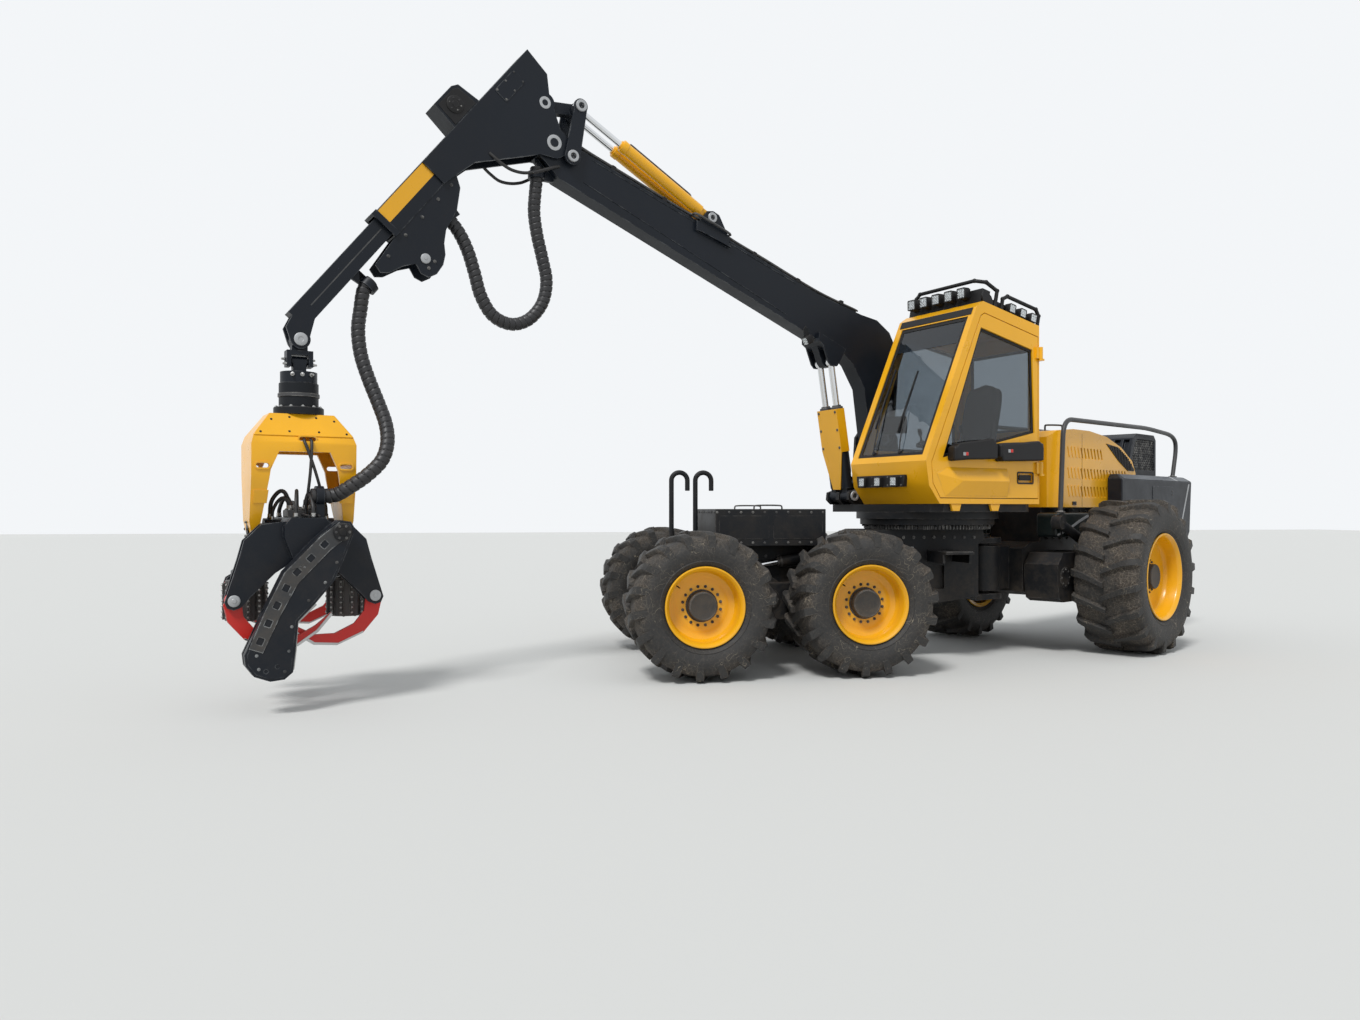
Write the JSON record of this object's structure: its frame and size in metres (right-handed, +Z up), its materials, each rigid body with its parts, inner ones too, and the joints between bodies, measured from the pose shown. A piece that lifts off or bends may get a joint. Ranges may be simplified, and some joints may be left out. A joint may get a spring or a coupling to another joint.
{
  "type": "forestry harvester",
  "caption": "Wheeled forestry harvester with articulated frame, rotating cab and jointed crane that carries a felling and delimbing head.",
  "frame": {"origin": "on the floor under the middle of the whole machine's box, in the pose of the picture", "axes": "+X forward along the front frame, +Y to its left, +Z up"},
  "size_m": [11.0416, 5.0987, 5.5962],
  "materials": {
    "yellow_paint": "semi-gloss paint",
    "dark_paint": "satin paint",
    "tyre_rubber": "dusty rubber",
    "engine_metal": "rough casting",
    "rail_paint": "satin paint",
    "glass": "tinted",
    "trim_plastic": "matte",
    "seat_fabric": "woven",
    "chrome": "polished",
    "saw_steel": "brushed",
    "red_paint": "worn paint",
    "hose_rubber": "matte"
  },
  "bodies": {
    "front_frame": {"front_frame": "dark_paint", "bogies": "dark_paint", "levelling_cylinders": "dark_paint", "front_deck": "dark_paint", "slew_ring": "dark_paint"},
    "rear_frame": {"rear_frame": "dark_paint", "rear_arms": "dark_paint", "side_tanks": "dark_paint", "engine_hood": "yellow_paint", "engine_block": "engine_metal", "rear_box": "dark_paint", "intake_tower": "dark_paint", "guard_rails": "rail_paint"},
    "wheel_front_left": {"tyre_front_left": "tyre_rubber", "rim_front_left": "yellow_paint"},
    "wheel_front_right": {"tyre_front_right": "tyre_rubber", "rim_front_right": "yellow_paint"},
    "wheel_middle_left": {"tyre_middle_left": "tyre_rubber", "rim_middle_left": "yellow_paint"},
    "wheel_middle_right": {"tyre_middle_right": "tyre_rubber", "rim_middle_right": "yellow_paint"},
    "wheel_rear_left": {"tyre_rear_left": "tyre_rubber", "rim_rear_left": "yellow_paint"},
    "wheel_rear_right": {"tyre_rear_right": "tyre_rubber", "rim_rear_right": "yellow_paint"},
    "turntable": {"turntable": "dark_paint", "cab_shell": "yellow_paint", "cab_glass": "glass", "roof_guard": "trim_plastic", "seat": "seat_fabric"},
    "cab_door": {"cab_door": "yellow_paint", "door_glass": "glass", "door_pods": "trim_plastic"},
    "lift_barrels": {"lift_barrels": "dark_paint", "lift_guard": "yellow_paint"},
    "lift_rods": {"lift_rods": "chrome"},
    "main_boom": {"main_boom": "dark_paint", "elbow_hose": "hose_rubber"},
    "stick_barrels": {"stick_barrels": "yellow_paint"},
    "stick_rods": {"stick_rods": "chrome"},
    "rocker": {"rocker": "dark_paint"},
    "short_link": {"short_link": "dark_paint"},
    "stick": {"stick": "dark_paint"},
    "extension": {"extension": "dark_paint", "head_hose": "hose_rubber"},
    "tip_hanger": {"tip_hanger": "dark_paint"},
    "cross_link": {"cross_link": "dark_paint"},
    "rotator": {"rotator": "dark_paint", "tilt_frame": "yellow_paint"},
    "head": {"head_frame": "dark_paint"},
    "saw_bar": {"saw_bar": "saw_steel"},
    "knife_rear_left": {"knife_rear_left": "red_paint"},
    "knife_rear_right": {"knife_rear_right": "red_paint"},
    "knife_front_left": {"knife_front_left": "red_paint"},
    "knife_front_right": {"knife_front_right": "red_paint"},
    "feed_arm_left": {"feed_arm_left": "dark_paint"},
    "feed_arm_right": {"feed_arm_right": "dark_paint"},
    "roller_left": {"roller_left": "engine_metal"},
    "roller_right": {"roller_right": "engine_metal"}
  },
  "joints": [
    {"name": "frame_joint", "type": "hinge", "parent": "front_frame", "child": "rear_frame", "pos_m": [-1.81, 0.225, 0.9], "axis": [0, 0, 1], "range_deg": [-75.5, 8.5]},
    {"name": "wheel_front_left_spin", "type": "hinge", "parent": "front_frame", "child": "wheel_front_left", "pos_m": [1.495, 1.3, 0.672], "axis": [0, 1, 0], "continuous": true},
    {"name": "wheel_front_right_spin", "type": "hinge", "parent": "front_frame", "child": "wheel_front_right", "pos_m": [1.495, -0.85, 0.672], "axis": [0, 1, 0], "continuous": true},
    {"name": "wheel_middle_left_spin", "type": "hinge", "parent": "front_frame", "child": "wheel_middle_left", "pos_m": [-0.035, 1.3, 0.672], "axis": [0, 1, 0], "continuous": true},
    {"name": "wheel_middle_right_spin", "type": "hinge", "parent": "front_frame", "child": "wheel_middle_right", "pos_m": [-0.035, -0.85, 0.672], "axis": [0, 1, 0], "continuous": true},
    {"name": "wheel_rear_left_spin", "type": "hinge", "parent": "rear_frame", "child": "wheel_rear_left", "pos_m": [-3.47071, 0.41495, 0.822], "axis": [-0.5519, 0.8339, 0], "continuous": true},
    {"name": "wheel_rear_right_spin", "type": "hinge", "parent": "rear_frame", "child": "wheel_rear_right", "pos_m": [-2.28404, -1.37791, 0.822], "axis": [-0.5519, 0.8339, 0], "continuous": true},
    {"name": "slewing", "type": "hinge", "parent": "front_frame", "child": "turntable", "pos_m": [-1.17, 0.225, 1.45], "axis": [0, 0, 1], "range_deg": [-111, 69]},
    {"name": "door_hinge", "type": "hinge", "parent": "turntable", "child": "cab_door", "pos_m": [-2.18168, 0.76212, 2.5], "axis": [0, 0, -1], "range_deg": [-95, 0]},
    {"name": "boom_lift", "type": "hinge", "parent": "turntable", "child": "main_boom", "pos_m": [-0.80778, -0.30007, 2.3], "axis": [0.3584, -0.9336, 0], "range_deg": [-35, 30]},
    {"name": "lift_barrel_swing", "type": "hinge", "parent": "turntable", "child": "lift_barrels", "pos_m": [-0.36899, -0.13163, 1.68], "axis": [0.3584, -0.9336, 0], "range_deg": [-23, 20]},
    {"name": "lift_rod_slide", "type": "slide", "parent": "lift_barrels", "child": "lift_rods", "axis": [0.1545, 0.0593, 0.9862], "range_m": [-0.36, 0.31]},
    {"name": "stick_fold", "type": "hinge", "parent": "main_boom", "child": "stick", "pos_m": [2.84253, 1.10115, 4.82], "axis": [0.3584, -0.9336, 0], "range_deg": [-45, 75], "deforming": ["elbow_hose"]},
    {"name": "stick_barrel_swing", "type": "hinge", "parent": "main_boom", "child": "stick_barrels", "pos_m": [1.27504, 0.49945, 4.394], "axis": [0.3584, -0.9336, 0], "range_deg": [-2, 1]},
    {"name": "stick_rod_slide", "type": "slide", "parent": "stick_barrels", "child": "stick_rods", "axis": [0.8156, 0.3131, 0.4866], "range_m": [-0.45, 0.27]},
    {"name": "rocker_swing", "type": "hinge", "parent": "main_boom", "child": "rocker", "pos_m": [2.68382, 1.04023, 4.72], "axis": [0.3584, -0.9336, 0], "range_deg": [-36, 60]},
    {"name": "short_link_swing", "type": "hinge", "parent": "stick", "child": "short_link", "pos_m": [2.92655, 1.13341, 5.16], "axis": [0.3584, -0.9336, 0], "range_deg": [-46, 28]},
    {"name": "extension_slide", "type": "slide", "parent": "stick", "child": "extension", "axis": [0.5875, 0.2255, -0.7771], "range_m": [0, 1.6], "deforming": ["head_hose"]},
    {"name": "tip_swing", "type": "hinge", "parent": "extension", "child": "tip_hanger", "pos_m": [4.85603, 1.87407, 2.88122], "axis": [0.3584, -0.9336, 0], "range_deg": [-80, 60]},
    {"name": "tip_sway", "type": "hinge", "parent": "tip_hanger", "child": "cross_link", "pos_m": [4.85603, 1.87407, 2.71122], "axis": [0.9336, 0.3584, 0], "range_deg": [-35, 35]},
    {"name": "rotator_turn", "type": "hinge", "parent": "cross_link", "child": "rotator", "pos_m": [4.85603, 1.87407, 2.43122], "axis": [0, 0, 1], "continuous": true},
    {"name": "head_tilt", "type": "hinge", "parent": "rotator", "child": "head", "pos_m": [4.85603, 1.87407, 1.38122], "axis": [0.9336, 0.3584, 0], "range_deg": [-90, 10]},
    {"name": "saw_swing", "type": "hinge", "parent": "head", "child": "saw_bar", "pos_m": [4.49404, 2.21713, 1.36122], "axis": [-0.3584, 0.9336, 0], "range_deg": [0, 90]},
    {"name": "knife_rear_left_swing", "type": "hinge", "parent": "head", "child": "knife_rear_left", "pos_m": [5.24652, 2.30782, 0.85122], "axis": [0.3584, -0.9336, 0], "range_deg": [-2, 60]},
    {"name": "knife_rear_right_swing", "type": "hinge", "parent": "head", "child": "knife_rear_right", "pos_m": [4.2756, 1.93511, 0.85122], "axis": [-0.3584, 0.9336, 0], "range_deg": [-2, 60]},
    {"name": "knife_front_left_swing", "type": "hinge", "parent": "head", "child": "knife_front_left", "pos_m": [5.43844, 1.55671, 0.91122], "axis": [0.3584, -0.9336, 0], "range_deg": [-2, 60]},
    {"name": "knife_front_right_swing", "type": "hinge", "parent": "head", "child": "knife_front_right", "pos_m": [4.63556, 1.24851, 0.91122], "axis": [-0.3584, 0.9336, 0], "range_deg": [-2, 60]},
    {"name": "feed_arm_left_swing", "type": "hinge", "parent": "head", "child": "feed_arm_left", "pos_m": [5.05958, 1.88793, 1.13122], "axis": [0.3584, -0.9336, 0], "range_deg": [-8, 25]},
    {"name": "feed_arm_right_swing", "type": "hinge", "parent": "head", "child": "feed_arm_right", "pos_m": [4.69548, 1.74817, 1.13122], "axis": [-0.3584, 0.9336, 0], "range_deg": [-8, 25]},
    {"name": "roller_left_spin", "type": "hinge", "parent": "feed_arm_left", "child": "roller_left", "pos_m": [5.24162, 1.95781, 0.82122], "axis": [0, 0, 1], "continuous": true},
    {"name": "roller_right_spin", "type": "hinge", "parent": "feed_arm_right", "child": "roller_right", "pos_m": [4.51343, 1.67829, 0.82122], "axis": [0, 0, 1], "continuous": true}
  ],
  "couplings": [
    {"joint": "lift_barrel_swing", "follows": "boom_lift", "ratio": 0.635},
    {"joint": "lift_rod_slide", "follows": "boom_lift", "m_per_rad": 0.575},
    {"joint": "stick_barrel_swing", "follows": "stick_fold", "ratio": -0.02},
    {"joint": "stick_rod_slide", "follows": "stick_fold", "m_per_rad": -0.335},
    {"joint": "rocker_swing", "follows": "stick_fold", "ratio": 0.78},
    {"joint": "short_link_swing", "follows": "stick_fold", "ratio": -0.6},
    {"joint": "tip_swing", "follows": "stick_fold", "ratio": -1},
    {"joint": "knife_rear_right_swing", "follows": "knife_rear_left_swing", "ratio": 1},
    {"joint": "knife_front_right_swing", "follows": "knife_front_left_swing", "ratio": 1},
    {"joint": "feed_arm_right_swing", "follows": "feed_arm_left_swing", "ratio": 1}
  ]
}
